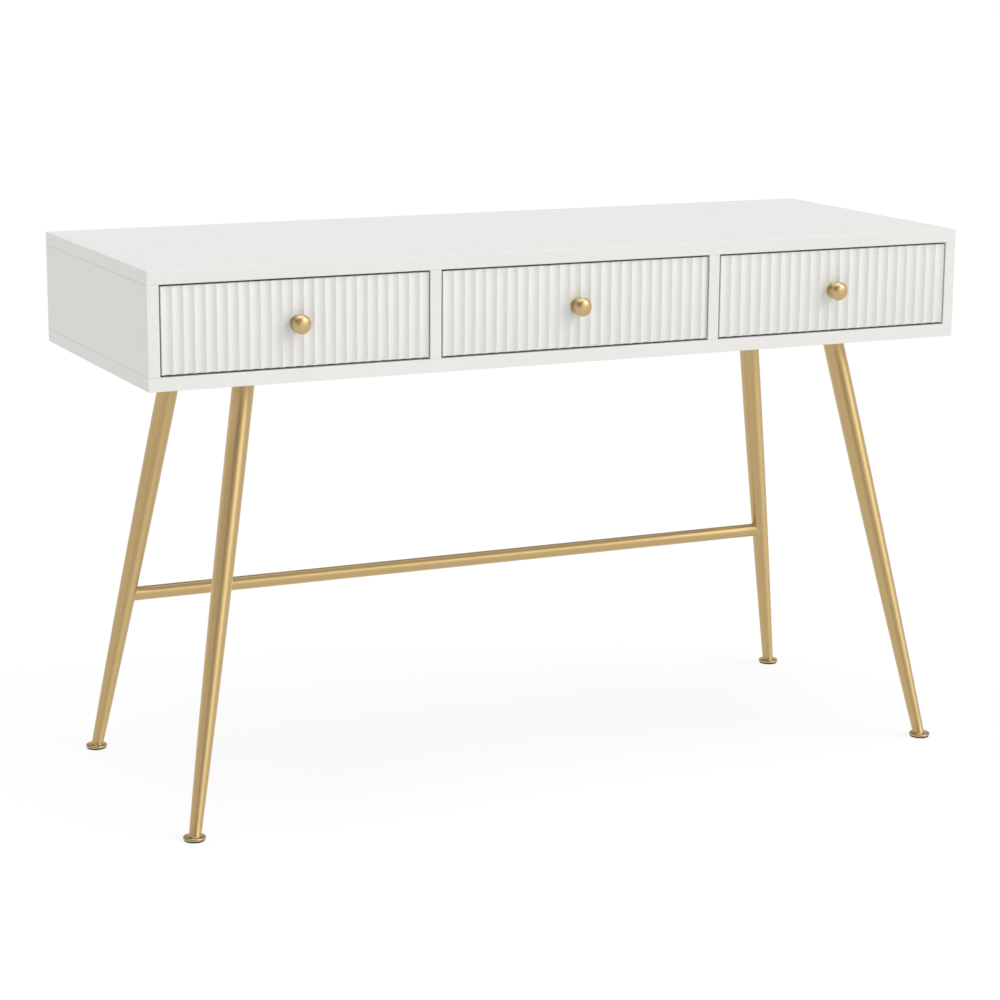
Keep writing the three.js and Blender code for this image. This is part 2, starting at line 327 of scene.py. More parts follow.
@dataclass(frozen=True)
class LinenFoil(Finish):
    """Pale melamine foil pressed on particle board, with the fine emboss of a linen decor.

    It gives the eye a slightly greyer, flatter white than the lacquer.
    """

    name: str = "Pressed linen foil"
    slot: Slot | None = Slot.BOARD
    light: str = "#E2E0DB"
    dark: str = "#D9D7D1"
    weave_mm: float = 2.4  # the emboss is about 0.8 mm, and is drawn coarser to show
    weave_depth_mm: float = 0.03

    def draw(self, tree: bpy.types.NodeTree) -> bpy.types.Node:
        """Draws fine flecks that tint the foil and dent it.

        Args:
            tree: the material's empty node tree.

        Returns:
            The shader.
        """
        place = own_place(tree)
        weave_inputs = {"Vector": place, "Scale": per_metre(self.weave_mm), "Detail": 0.0}
        weave = add_node(tree, "ShaderNodeTexNoise", weave_inputs).outputs["Fac"]
        bump = add_node(tree, "ShaderNodeBump", {"Height": weave, "Distance": self.weave_depth_mm * MM})
        skin = {
            "Base Color": between(tree, weave, self.dark, self.light),
            "Roughness": 0.55,
            "IOR": 1.5,
            "Normal": bump.outputs["Normal"],
        }
        return add_node(tree, "ShaderNodeBsdfPrincipled", skin)


@dataclass(frozen=True)
class BrushedGold(Finish):
    """Steel tube, spun against a brushing belt, plated in pale gold and sealed with a clear coat.

    It gives the eye a warm metal whose highlights are drawn out along the tube, because the fine
    lines go round it. They follow the tube's map, which holds metres round the tube and along it.
    """

    name: str = "Brushed plated gold"
    slot: Slot | None = Slot.GOLD
    bright: str = "#C7AC7A"
    deep: str = "#BFA470"
    line_mm: float = 1.0  # brush lines are about 0.1 mm apart, and are drawn coarser to show
    line_length_mm: float = 30.0
    line_depth_mm: float = 0.002
    roughness: tuple[float, float] = (0.38, 0.44)  # on the deep and the bright lines
    draw_out: float = 0.8  # how strongly the lines draw the highlights out
    coat: float = 0.35  # the clear coat is thin
    coat_roughness: float = 0.45

    def draw(self, tree: bpy.types.NodeTree) -> bpy.types.Node:
        """Draws long fine lines that tint the metal and vary its gloss.

        Args:
            tree: the material's empty node tree.

        Returns:
            The shader.
        """
        stretch = (per_metre(self.line_length_mm), per_metre(self.line_mm), 1.0)
        lines_inputs = {"Vector": mapped_place(tree, stretch), "Scale": 1.0, "Detail": 2.0}
        lines = add_node(tree, "ShaderNodeTexNoise", lines_inputs).outputs["Fac"]
        bump = add_node(tree, "ShaderNodeBump", {"Height": lines, "Distance": self.line_depth_mm * MM})
        skin = {
            "Base Color": between(tree, lines, self.deep, self.bright),
            "Metallic": 1.0,
            "Roughness": spread(tree, lines, *self.roughness),
            "Anisotropic": self.draw_out,
            "Anisotropic Rotation": 0.25,
            "Tangent": add_node(tree, "ShaderNodeTangent", direction_type="UV_MAP").outputs["Tangent"],
            "Coat Weight": self.coat,
            "Coat Roughness": self.coat_roughness,
            "Normal": bump.outputs["Normal"],
        }
        return add_node(tree, "ShaderNodeBsdfPrincipled", skin)


@dataclass(frozen=True)
class TurnedBrass(Finish):
    """Brass turned on a lathe, or a plated disc turned the same way, then polished to a satin.

    It gives the eye small soft highlights with faint rings from the tool.
    """

    name: str = "Turned satin brass"
    slot: Slot | None = Slot.BRASS
    bright: str = "#C9B083"
    deep: str = "#C0A677"
    ring_mm: float = 0.9  # the tool's rings are about 0.1 mm apart, and are drawn coarser to show
    ring_depth_mm: float = 0.004
    roughness: tuple[float, float] = (0.34, 0.42)  # in the deep and on the bright rings

    def draw(self, tree: bpy.types.NodeTree) -> bpy.types.Node:
        """Draws rings round the piece's axis that tint the metal and dent it.

        Args:
            tree: the material's empty node tree.

        Returns:
            The shader.
        """
        ring_inputs = {"Vector": turned_place(tree), "Scale": per_metre(self.ring_mm), "Detail": 1.0}
        rings = add_node(tree, "ShaderNodeTexNoise", ring_inputs).outputs["Fac"]
        bump = add_node(tree, "ShaderNodeBump", {"Height": rings, "Distance": self.ring_depth_mm * MM})
        skin = {
            "Base Color": between(tree, rings, self.deep, self.bright),
            "Metallic": 1.0,
            "Roughness": spread(tree, rings, *self.roughness),
            "Normal": bump.outputs["Normal"],
        }
        return add_node(tree, "ShaderNodeBsdfPrincipled", skin)


@dataclass(frozen=True)
class ZincPlate(Finish):
    """Sheet steel, roll formed or pressed, with a bright zinc plating.

    It gives the eye a cool, slightly cloudy grey metal.
    """

    name: str = "Bright zinc plate"
    slot: Slot | None = Slot.ZINC
    bright: str = "#C6C9CC"
    dull: str = "#B4B8BC"
    cloud_mm: float = 9.0
    roughness: tuple[float, float] = (0.28, 0.42)  # of the dull and the bright clouds

    def draw(self, tree: bpy.types.NodeTree) -> bpy.types.Node:
        """Draws clouds in the plating's tint and gloss.

        Args:
            tree: the material's empty node tree.

        Returns:
            The shader.
        """
        cloud_inputs = {"Vector": own_place(tree), "Scale": per_metre(self.cloud_mm), "Detail": 3.0}
        cloud = add_node(tree, "ShaderNodeTexNoise", cloud_inputs).outputs["Fac"]
        skin = {
            "Base Color": between(tree, cloud, self.dull, self.bright),
            "Metallic": 1.0,
            "Roughness": spread(tree, cloud, *self.roughness),
        }
        return add_node(tree, "ShaderNodeBsdfPrincipled", skin)


@dataclass(frozen=True)
class DarkPad(Finish):
    """A dark brown non-slip pad, cut from foamed rubber.

    It gives the eye a thin matt line between the metal disc and the floor.
    """

    name: str = "Cut foam rubber"
    slot: Slot | None = Slot.PAD
    light: str = "#3A332C"
    dark: str = "#27221D"
    cell_mm: float = 0.8
    cell_depth_mm: float = 0.1

    def draw(self, tree: bpy.types.NodeTree) -> bpy.types.Node:
        """Draws the cut cells as speckle and dents.

        Args:
            tree: the material's empty node tree.

        Returns:
            The shader.
        """
        cell_inputs = {"Vector": own_place(tree), "Scale": per_metre(self.cell_mm), "Detail": 2.0}
        cells = add_node(tree, "ShaderNodeTexNoise", cell_inputs).outputs["Fac"]
        bump = add_node(tree, "ShaderNodeBump", {"Height": cells, "Distance": self.cell_depth_mm * MM})
        skin = {
            "Base Color": between(tree, cells, self.dark, self.light),
            "Roughness": 0.9,
            "IOR": 1.45,
            "Normal": bump.outputs["Normal"],
        }
        return add_node(tree, "ShaderNodeBsdfPrincipled", skin)


LACQUER = SprayedLacquer()
FOIL = LinenFoil()
GOLD = BrushedGold()
GOLD_DISC = TurnedBrass(
    name="Turned plated gold",
    slot=Slot.GOLD,
    bright="#B9A278",
    deep="#B1996D",
    roughness=(0.30, 0.38),
)
BRASS = TurnedBrass()
ZINC = ZincPlate()
PAD = DarkPad()


# ---------------------------------------------------------------- mesh making
def arc(
    centre: Point, radius: Point, start_degrees: float, end_degrees: float, steps: int
) -> list[Point]:
    """Points along an arc of an ellipse.

    Args:
        centre: the ellipse's centre.
        radius: its two half widths.
        start_degrees: where the arc starts, turning from the first axis to the second.
        end_degrees: where it ends.
        steps: how many straight pieces stand for it.

    Returns:
        The points, with both ends.
    """
    sweep = end_degrees - start_degrees
    turns = [math.radians(start_degrees + sweep * i / steps) for i in range(steps + 1)]
    return [(centre[0] + radius[0] * math.cos(t), centre[1] + radius[1] * math.sin(t)) for t in turns]


class Shape:
    """A closed mesh while it is being built."""

    CREASE = math.radians(32)  # edges that turn further than this are sharp

    def __init__(self) -> None:
        """Starts an empty mesh."""
        self.bm = bmesh.new()

    @classmethod
    def skin(
        cls, rings: Sequence[Sequence[Vector]], smooth: bool = True, girth: float = 0.0
    ) -> "Shape":
        """Stretches a closed skin over rings of points, and caps its ends flat.

        Args:
            rings: rings with equal numbers of points. A ring of one point is a pole.
            smooth: whether the faces between the rings are curved rather than flat.
            girth: the distance all the way round a tube along Z that gets a map, or 0 for none.

        Returns:
            The shape.
        """
        shape = cls()
        loops = [[shape.bm.verts.new(point) for point in ring] for ring in rings]
        layer = shape.bm.loops.layers.uv.new("metres") if girth else None
        for low, high in zip(loops, loops[1:]):
            count = max(len(low), len(high))
            for i in range(count):
                j = (i + 1) % count
                ends = (low[i % len(low)], low[j % len(low)], high[j % len(high)], high[i % len(high)])
                face = shape.bm.faces.new(list(dict.fromkeys(ends)))
                face.smooth = smooth
                if layer:
                    for corner, turn in zip(face.loops, (i, i + 1, i + 1, i)):
                        corner[layer].uv = (girth * turn / count, corner.vert.co.z)
        for loop in (loops[0], loops[-1]):
            if len(loop) > 2:
                shape.bm.faces.new(loop)
        return shape

    @classmethod
    def prism(
        cls, outline: Sequence[Point], axis: Axis, start: float, end: float, smooth: bool = False
    ) -> "Shape":
        """Extrudes a closed outline along an axis.

        Args:
            outline: points in the plane of the other two axes, in their order.
            axis: the axis of the extrusion.
            start: where it starts on that axis.
            end: where it ends.
            smooth: whether the outline's sides are curved rather than flat.

        Returns:
            The shape.
        """
        return cls.skin([[axis.point(p, at) for p in outline] for at in (start, end)], smooth)

    @classmethod
    def board(cls, low: Vector, high: Vector, ease_mm: float) -> "Shape":
        """A board between two corners, with every edge eased to a small round.

        Args:
            low: the lowest corner.
            high: the highest corner.
            ease_mm: the radius of the eased edges.

        Returns:
            The shape.
        """
        outline = [(low.x, low.y), (high.x, low.y), (high.x, high.y), (low.x, high.y)]
        return cls.prism(outline, Axis.Z, low.z, high.z).ease(ease_mm)

    @classmethod
    def turned(cls, profile: Sequence[Point], sides: int) -> "Shape":
        """Turns a profile about the Z axis.

        Args:
            profile: radius and height of each point. A radius of 0 is a pole.
            sides: how many points go round.

        Returns:
            The shape.
        """
        rings = []
        for radius, height in profile:
            around = [math.tau * i / sides for i in range(sides if radius > 0 else 1)]
            rings.append([Vector((radius * math.cos(a), radius * math.sin(a), height)) for a in around])
        return cls.skin(rings)

    def ease(self, radius_mm: float, segments: int = 3) -> "Shape":
        """Rounds every edge that is sharper than a crease.

        Args:
            radius_mm: the radius of the round.
            segments: how many faces go across it.

        Returns:
            This shape.
        """
        bmesh.ops.recalc_face_normals(self.bm, faces=self.bm.faces)
        sharp = [edge for edge in self.bm.edges if edge.calc_face_angle() > self.CREASE]
        made = bmesh.ops.bevel(
            self.bm,
            geom=sharp,
            offset=radius_mm * MM,
            offset_type="OFFSET",
            segments=segments,
            profile=0.5,
            affect="EDGES",
            clamp_overlap=True,
        )
        for face in made["faces"]:
            face.smooth = True
        return self

    def mapped(self) -> "Shape":
        """Gives a flat shape a map that holds its X and Y in metres.

        Returns:
            This shape.
        """
        layer = self.bm.loops.layers.uv.new("metres")
        for face in self.bm.faces:
            for corner in face.loops:
                corner[layer].uv = corner.vert.co.xy
        return self

    def placed(self, place: Matrix) -> "Shape":
        """Moves the shape by a matrix and returns it."""
        self.bm.transform(place)
        return self

    def joined(self, other: "Shape") -> "Shape":
        """Adds another shape's faces to this one.

        Args:
            other: the other shape, which is used up.

        Returns:
            This shape.
        """
        extra = other.mesh("extra")
        self.bm.from_mesh(extra)
        bpy.data.meshes.remove(extra)
        return self

    def carved(self, *cutters: "Shape") -> "Shape":
        """Cuts other shapes away from this one.

        Args:
            *cutters: closed shapes in the same place.

        Returns:
            A new shape.
        """
        body = bpy.data.objects.new("carved", self.mesh("carved"))
        bpy.context.scene.collection.objects.link(body)
        tools = [bpy.data.objects.new("cutter", cutter.mesh("cutter")) for cutter in cutters]
        for tool in tools:
            bpy.context.scene.collection.objects.link(tool)
            cut = body.modifiers.new("cut", "BOOLEAN")
            cut.operation, cut.solver, cut.object = "DIFFERENCE", "EXACT", tool
        scene_now = bpy.context.evaluated_depsgraph_get()
        result = Shape()
        result.bm.from_mesh(body.evaluated_get(scene_now).to_mesh())
        for spent in (body, *tools):
            mesh = spent.data
            bpy.data.objects.remove(spent)
            bpy.data.meshes.remove(mesh)
        return result

    def mesh(self, name: str) -> bpy.types.Mesh:
        """Turns the shape into a mesh with its normals outward and its creases sharp.

        Args:
            name: the mesh's name.

        Returns:
            The mesh. The shape is used up.
        """
        bmesh.ops.recalc_face_normals(self.bm, faces=self.bm.faces)
        for edge in self.bm.edges:
            edge.smooth = edge.is_manifold and edge.calc_face_angle() < self.CREASE
        made = bpy.data.meshes.new(name)
        self.bm.to_mesh(made)
        self.bm.free()
        return made


# ---------------------------------------------------------------- sub-assemblies
@dataclass
class SubAssembly:
    """Pieces that are built together and ride on one body.

    Args:
        body: the name of the body in the record.
    """

    body: str

    def add(
        self,
        name: str,
        shape: Shape,
        finish: Finish,
        replaced: Sequence[str] = (),
        place: Matrix | None = None,
    ) -> bpy.types.Object:
        """Makes a piece from a shape, dresses it and lets it ride on the body.

        Args:
            name: the piece's name.
            shape: its shape, in its own axes.
            finish: its finish.
            replaced: the CAD nodes that it stands for.
            place: where its own axes lie, or None for the table's axes.

        Returns:
            The piece.
        """
        piece = bpy.data.objects.new(name, shape.mesh(name))
        bpy.context.scene.collection.objects.link(piece)
        piece.data.materials.append(finish.material())
        piece.matrix_world = place or Matrix()
        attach(piece, self.body)
        if replaced:
            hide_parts(*replaced)
        log.info("%-32s rides on %-14s in %s", name, self.body, finish.name)
        return piece

    def build(self) -> None:
        """Builds every piece of the sub-assembly."""
        raise NotImplementedError


def axes_at(origin: Vector, z_axis: Vector, near_x: Vector) -> Matrix:
    """A placing matrix with a given Z axis.

    Args:
        origin: where the axes meet.
        z_axis: the direction of Z.
        near_x: a direction that X lies as near to as it can.

    Returns:
        A matrix without scale.
    """
    z = z_axis.normalized()
    x = (near_x - z * near_x.dot(z)).normalized()
    y = z.cross(x)
    turn = Matrix((x, y, z)).transposed().to_4x4()
    return Matrix.Translation(origin) @ turn


@dataclass(frozen=True)
class CrossScrew:
    """A pan-head screw with a cross recess. Only its head shows.

    Args:
        head_mm: the head's radius.
        rise_mm: the head's height.
        rim_share: the share of the height that is straight, below the crown.
        recess_mm: how far each arm of the cross reaches from the middle.
        blade_mm: half the width of an arm.
        sunk_mm: the depth of the cross.
        recess_ease_mm: the radius of the cross's edges.
        sides: how many faces go round.
    """

    head_mm: float = 4.4
    rise_mm: float = 2.4
    rim_share: float = 0.35
    recess_mm: float = 2.6
    blade_mm: float = 0.7
    sunk_mm: float = 1.3
    recess_ease_mm: float = 0.05
    sides: int = 28

    def head(self) -> Shape:
        """The head, standing on Z = 0, with a cross cut into its crown.

        Returns:
            The shape.
        """
        radius, rise = self.head_mm * MM, self.rise_mm * MM
        rim = rise * self.rim_share
        dome = arc((0, rim), (radius, rise - rim), 0, 90, steps=8)
        profile = [(0.0, 0.0), (radius, 0.0), *dome[:-1], (0.0, rise)]
        long, wide = self.recess_mm * MM, self.blade_mm * MM
        low, high = Vector((-long, -wide, rise - self.sunk_mm * MM)), Vector((long, wide, rise * 2))
        cutters = []
        for turn in (0, 90):
            bar = Shape.board(low, high, self.recess_ease_mm)
            cutters.append(bar.placed(Matrix.Rotation(math.radians(turn), 4, "Z")))
        return Shape.turned(profile, self.sides).carved(*cutters)

    def heads(self, places: Sequence[Matrix]) -> Shape:
        """One head at each place, as a single shape.

        Args:
            places: where each head's own axes lie.

        Returns:
            The shape.
        """
        pattern = self.head().mesh("screw_head")
        every = Shape()
        for place in places:
            copy = pattern.copy()
            copy.transform(place)
            every.bm.from_mesh(copy)
            bpy.data.meshes.remove(copy)
        bpy.data.meshes.remove(pattern)
        return every


BOARD_SCREW = CrossScrew()
RUNNER_SCREW = CrossScrew(head_mm=3.6)


@dataclass
class Carcass(SubAssembly):
    """The lacquered boards round the drawers.

    Args:
        ease_mm: the radius of the boards' eased edges, which also draws the seams between them.
        plug_mm: the radius of the lacquered plugs over the screws under the bottom board.
        plug_rise_mm: how far a plug stands proud.
        plug_inset: the plugs' places from front to back, as shares of the depth.
        plug_sides: how many faces go round a plug.
    """

    ease_mm: float = 0.6
    plug_mm: float = 6.0
    plug_rise_mm: float = 0.8
    plug_inset: tuple[float, ...] = (0.12, 0.5, 0.88)
    plug_sides: int = 32

    BOARDS = (
        "top_panel",
        "bottom_panel",
        "side_panel_left",
        "side_panel_right",
        "divider_left",
        "divider_right",
        "back_panel",
    )

    def build(self) -> None:
        """Builds the seven boards and the plugs under them."""
        for node in self.BOARDS:
            low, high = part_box(node)
            self.add(f"board_{node}", Shape.board(low, high, self.ease_mm), LACQUER, [node])
        self.build_plugs()

    def build_plugs(self) -> None:
        """A row of domed plugs under each upright board."""
        low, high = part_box("bottom_panel")
        radius, rise = self.plug_mm * MM, self.plug_rise_mm * MM
        profile = [(0.0, rise), *reversed(arc((radius - rise, 0), (rise, rise), 0, 90, steps=4)), (0.0, 0.0)]
        for node in self.BOARDS[2:6]:
            upright_low, upright_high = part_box(node)
            x = (upright_low.x + upright_high.x) / 2
            row = Shape()
            for share in self.plug_inset:
                spot = Vector((x, low.y + share * (high.y - low.y), low.z))
                down = axes_at(spot, Vector((0, 0, -1)), Vector((1, 0, 0)))
                row.joined(Shape.turned(profile, self.plug_sides).placed(down))
            self.add(f"plugs_{node}", row, LACQUER)


@dataclass
class Runners(SubAssembly):
    """The channels of the drawer runners, screwed inside the carcass.

    Args:
        sheet_mm: the thickness of the steel.
        lip_mm: how far each lip turns back over the rail.
        ease_mm: the radius of the folds' outer corners.
        screw_shares: the screws' places from front to back, as shares of the length.
    """

    sheet_mm: float = 1.2
    lip_mm: float = 3.0
    ease_mm: float = 0.5
    screw_shares: tuple[float, ...] = (0.1, 0.5, 0.9)

    def build(self) -> None:
        """Builds two channels for each drawer."""
        for bay in Bay:
            for side in Side:
                self.build_channel(bay, side)

    def build_channel(self, bay: Bay, side: Side) -> None:
        """One channel with its screws.

        Args:
            bay: the drawer that it carries.
            side: the side of that drawer.
        """
        node = f"runner_{bay.tag}_{side.tag}"
        low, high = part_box(node)
        web, lips = (low.x, high.x) if side is Side.LEFT else (high.x, low.x)
        self.add(
            f"channel_{bay.tag}_{side.tag}",
            folded_sheet(web, lips, low, high, self.sheet_mm, self.lip_mm).ease(self.ease_mm, segments=2),
            ZINC,
            [node],
        )
        inward = Vector((-side.sign, 0, 0))
        seat = web + inward.x * self.sheet_mm * MM
        screws = screw_row(low, high, seat, inward, self.screw_shares)
        self.add(f"channel_screws_{bay.tag}_{side.tag}", screws, ZINC)


def folded_sheet(
    web: float, lips: float, low: Vector, high: Vector, sheet_mm: float, lip_mm: float
) -> Shape:
    """A steel sheet folded to a C that runs from front to back, with its lips turned in.

    Args:
        web: the X of the C's back.
        lips: the X that its open side reaches.
        low: the lowest corner of the box it fills.
        high: the highest corner.
        sheet_mm: the thickness of the steel.
        lip_mm: how far the lips turn in. At the sheet's thickness there are none.

    Returns:
        The shape, with sharp folds.
    """
    inward = math.copysign(sheet_mm * MM, lips - web)
    thick, lip = sheet_mm * MM, lip_mm * MM
    lower = [
        (web, low.z),
        (lips, low.z),
        (lips, low.z + lip),
        (lips - inward, low.z + lip),
        (lips - inward, low.z + thick),
        (web + inward, low.z + thick),
    ]
    upper = [(x, low.z + high.z - z) for x, z in reversed(lower)]
    return Shape.prism(lower + upper, Axis.Y, low.y, high.y)


def screw_row(
    low: Vector, high: Vector, seat: float, towards: Vector, shares: Sequence[float]
) -> Shape:
    """Screw heads in a row from front to back, half way up a runner's channel or rail.

    Args:
        low: the lowest corner of the channel or rail.
        high: its highest corner.
        seat: the X of the face that the heads stand on.
        towards: the direction that the heads face.
        shares: their places from front to back, as shares of the length.

    Returns:
        The shape.
    """
    middle = (low.z + high.z) / 2
    spots = [Vector((seat, low.y + share * (high.y - low.y), middle)) for share in shares]
    return RUNNER_SCREW.heads([axes_at(spot, towards, Vector((0, 0, 1))) for spot in spots])


@dataclass
class LegSet(SubAssembly):
    """The four leaning tubes with their plates, discs and pads.

    Args:
        top_radius_mm: the tube's radius at the top.
        foot_radius_mm: what its radius comes to at the floor.
        bead_mm: the size of the weld bead under the plate.
        foot_bead_mm: the size of the bead on the disc.
        plate_corner_mm: the radius of the plates' corners.
        plate_ease_mm: the radius of their eased edges.
        screw_inset_mm: how far the screws stand in from the plates' edges.
        disc_rim_mm: the radius of the discs' rounded rims.
        pad_rim_mm: the same of the pads.
        rows: how many rows of faces lie along a tube.
        sides: how many faces go round a tube.
    """

    top_radius_mm: float = 14.6
    foot_radius_mm: float = 8.0
    bead_mm: float = 2.2
    foot_bead_mm: float = 0.9
    plate_corner_mm: float = 8.0
    plate_ease_mm: float = 0.5
    screw_inset_mm: float = 10.0
    disc_rim_mm: float = 1.8
    pad_rim_mm: float = 0.4
    rows: int = 28
    sides: int = 64

    def build(self) -> None:
        """Builds each leg from its plate down to its pad."""
        for end in End:
            for side in Side:
                tag = f"{end.value}_{side.tag}"
                self.build_tube(tag)
                self.build_plate(tag)
                self.build_foot(tag)

    @staticmethod
    def axis(tag: str) -> tuple[Vector, Vector]:
        """The ends of a leg's axis, under the carcass and on the floor.

        Args:
            tag: the leg's name in node names.

        Returns:
            The top and the foot.
        """
        plate_low, plate_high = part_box(f"leg_plate_{tag}")
        pad_low, pad_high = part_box(f"foot_pad_{tag}")
        top, foot = (plate_low + plate_high) / 2, (pad_low + pad_high) / 2
        top.z, foot.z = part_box("bottom_panel")[0].z, 0.0
        return top, foot

    def radius_at(self, down: float, length: float) -> float:
        """The tube's radius at a distance down its axis. The taper gets steeper towards the foot.

        Args:
            down: the distance from the top of the axis.
            length: the axis's whole length.

        Returns:
            The radius.
        """
        top, foot = self.top_radius_mm * MM, self.foot_radius_mm * MM
        return top - (top - foot) * (down / length) ** 2

    def build_tube(self, tag: str) -> None:
        """The tapered tube, cut level at both ends and welded to its plate and disc.

        Args:
            tag: the leg's name in node names.
        """
        top, foot = self.axis(tag)
        length = (foot - top).length
        place = axes_at(top, foot - top, Vector((1, 0, 0)))
        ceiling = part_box(f"leg_plate_{tag}")[0].z
        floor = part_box(f"foot_disc_{tag}")[1].z
        shape = welded_tube(
            radius_at=lambda down: self.radius_at(down, length),
            start=level_cut(place, ceiling),
            end=level_cut(place, floor),
            start_bead=self.bead_mm * MM,
            end_bead=self.foot_bead_mm * MM,
            rows=self.rows,
            sides=self.sides,
        )
        self.add(f"tube_{tag}", shape.placed(place), GOLD, [f"leg_{tag}"])

    def build_plate(self, tag: str) -> None:
        """The pressed plate that holds the tube to the carcass, with its four screws.

        Args:
            tag: the leg's name in node names.
        """
        node = f"leg_plate_{tag}"
        low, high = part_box(node)
        corner = self.plate_corner_mm * MM
        left, right = low.x + corner, high.x - corner
        front, back = low.y + corner, high.y - corner
        outline: list[Point] = []
        for turn, middle in enumerate(((left, front), (right, front), (right, back), (left, back))):
            outline += arc(middle, (corner, corner), 180 + 90 * turn, 270 + 90 * turn, steps=8)
        plate = Shape.prism(outline, Axis.Z, low.z, high.z).ease(self.plate_ease_mm, segments=2).mapped()
        self.add(f"plate_{tag}", plate, GOLD, [node])
        inset = self.screw_inset_mm * MM
        across, along = (low.x + inset, high.x - inset), (low.y + inset, high.y - inset)
        spots = [Vector((x, y, low.z)) for x in across for y in along]
        places = [axes_at(spot, Vector((0, 0, -1)), Vector((1, 1, 0))) for spot in spots]
        self.add(f"plate_screws_{tag}", BOARD_SCREW.heads(places), ZINC)

    def build_foot(self, tag: str) -> None:
        """The turned disc under the tube and the dark pad under the disc.

        Args:
            tag: the leg's name in node names.
        """
        for name, finish, rim_mm in (("disc", GOLD_DISC, self.disc_rim_mm), ("pad", PAD, self.pad_rim_mm)):
            node = f"foot_{name}_{tag}"
            low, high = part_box(node)
            radius, thick, rim = (high.x - low.x) / 2, high.z - low.z, rim_mm * MM
            lower = arc((radius - rim, rim), (rim, rim), -90, 0, steps=6)
            upper = arc((radius - rim, thick - rim), (rim, rim), 0, 90, steps=6)
            profile = [(0.0, 0.0), *lower, *upper, (0.0, thick)]
            centre = (low + high) / 2
            place = Matrix.Translation((centre.x, centre.y, low.z))
            self.add(f"{name}_{tag}", Shape.turned(profile, self.sides), finish, [node], place)


Cut = Callable[[float, float], float]
BEAD = (1.0, 0.55, 0.25, 0.08, 0.0)  # how far a hollow weld bead stands out, from its toe up


def level_cut(place: Matrix, height: float) -> Cut:
    """Where lines along a tube meet a level plane.

    Args:
        place: the tube's own axes, with Z along it.
        height: the plane's height above the floor.

    Returns:
        A function from a line's place across the tube to its distance along it.
    """
    back = place.inverted()
    point = back @ Vector((place.translation.x, place.translation.y, height))
    normal = back.to_3x3() @ Vector((0, 0, 1))
    return lambda x, y: (normal.dot(point) - normal.x * x - normal.y * y) / normal.z


def welded_tube(
    radius_at: Callable[[float], float],
    start: Cut,
    end: Cut,
    start_bead: float,
    end_bead: float,
    rows: int,
    sides: int,
) -> Shape:
    """A tube along Z, cut to its neighbours at both ends, with a weld bead round each cut.

    Args:
        radius_at: the radius at a distance along the tube.
        start: where the lines along the tube start.
        end: where they end.
        start_bead: the width and height of the bead at the start.
        end_bead: the same at the end.
        rows: how many rows of faces lie between the beads.
        sides: how many faces go round.

    Returns:
        The shape.
    """
    around = [math.tau * i / sides for i in range(sides)]

    def ring(share: float, flare: float, lift: float) -> list[Vector]:
        """A ring of points round the tube.

        Args:
            share: its place between the two cuts, as a share of the length.
            flare: how much wider than the tube it is.
            lift: how far it is moved along the tube.

        Returns:
            The points, once round.
        """
        points = []
        for angle in around:
            wide = radius_at(start(0, 0) + share * (end(0, 0) - start(0, 0))) + flare
            x, y = wide * math.cos(angle), wide * math.sin(angle)
            first, last = start(x, y), end(x, y)
            points.append(Vector((x, y, first + share * (last - first) + lift)))
        return points

    steps = len(BEAD) - 1
    rings = [ring(0.0, start_bead * out, start_bead * i / steps) for i, out in enumerate(BEAD)]
    rings += [ring(row / rows, 0.0, 0.0) for row in range(1, rows)]
    rings += [ring(1.0, end_bead * BEAD[i], -end_bead * i / steps) for i in range(steps, -1, -1)]
    return Shape.skin(rings, girth=math.tau * radius_at(0))


@dataclass
class Stretcher(SubAssembly):
    """The round bar welded between the back legs.

    Args:
        legs: the legs that it joins.
        bead_mm: the size of the weld bead at each end.
        rows: how many rows of faces lie along the bar.
        sides: how many faces go round.
    """

    legs: LegSet
    bead_mm: float = 1.4
    rows: int = 40
    sides: int = 64

    ROUNDS = 3  # of the search for a leg's surface, whose radius changes slowly

    def build(self) -> None:
        """Builds the bar, coped to the round of both legs."""
        low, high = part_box("stretcher")
        centre = (low + high) / 2
        place = axes_at(centre, Vector((1, 0, 0)), Vector((0, 0, 1)))
        radius = (high.z - low.z) / 2
        shape = welded_tube(
            radius_at=lambda along: radius,
            start=self.cope(place, Side.LEFT),
            end=self.cope(place, Side.RIGHT),
            start_bead=self.bead_mm * MM,
            end_bead=self.bead_mm * MM,
            rows=self.rows,
            sides=self.sides,
        )
        self.add("stretcher_bar", shape.placed(place), GOLD, ["stretcher"])

    def cope(self, place: Matrix, side: Side) -> Cut:
        """Where lines along the bar meet a back leg.

        Args:
            place: the bar's own axes, with Z along it.
            side: the leg's side.

        Returns:
            A function from a line's place across the bar to its distance along it.
        """
        top, foot = self.legs.axis(f"back_{side.tag}")
        down = (foot - top).normalized()
        length = (foot - top).length
        along = place.to_3x3() @ Vector((0, 0, 1))

        def meeting(x: float, y: float) -> float:
            """Solves for the point of a line that lies on the leg's surface, on its inner side.

            Args:
                x: the line's place across the bar.
                y: the same on the other axis.

            Returns:
                The point's distance along the bar.
            """
            start = place @ Vector((x, y, 0)) - top
            level = start - down * start.dot(down)
            slant = along - down * along.dot(down)
            reach = 0.0
            for _ in range(self.ROUNDS):
                at = (start + along * reach).dot(down)
                radius = self.legs.radius_at(at, length)
                a, b = slant.dot(slant), 2 * level.dot(slant)
                c = level.dot(level) - radius**2
                reach = (-b - side.sign * math.sqrt(b * b - 4 * a * c)) / (2 * a)
            return reach

        return meeting


